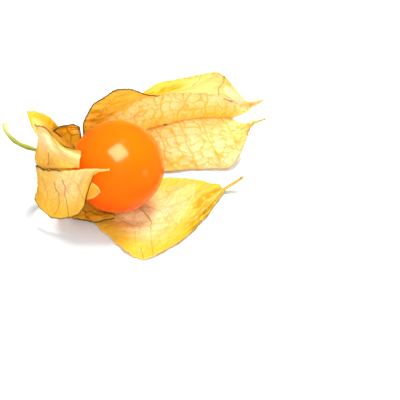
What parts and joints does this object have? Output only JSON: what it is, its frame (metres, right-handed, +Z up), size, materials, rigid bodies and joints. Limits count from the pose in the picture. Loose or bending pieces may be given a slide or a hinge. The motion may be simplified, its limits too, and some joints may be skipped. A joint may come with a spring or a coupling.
{
  "type": "physalis berry",
  "caption": "Ripe physalis berry lying in its torn-open papery husk, with its pointed lobes spread and its thin bent stalk.",
  "frame": {"origin": "on the surface it lies on, under the middle of its bounding box", "axes": "+Z up, +X towards the tips of the spread lobes, -Y towards the open side of the husk"},
  "size_m": [0.0554, 0.0398, 0.0221],
  "materials": {
    "berry": "smooth glossy orange fruit skin",
    "husk": "thin dry papery calyx, pale yellow with orange veins, lets light through",
    "stem": "dry green-yellow stalk, faintly ridged"
  },
  "bodies": {
    "root": {"berry": "berry", "husk": "husk", "stem": "stem"}
  },
  "joints": []
}
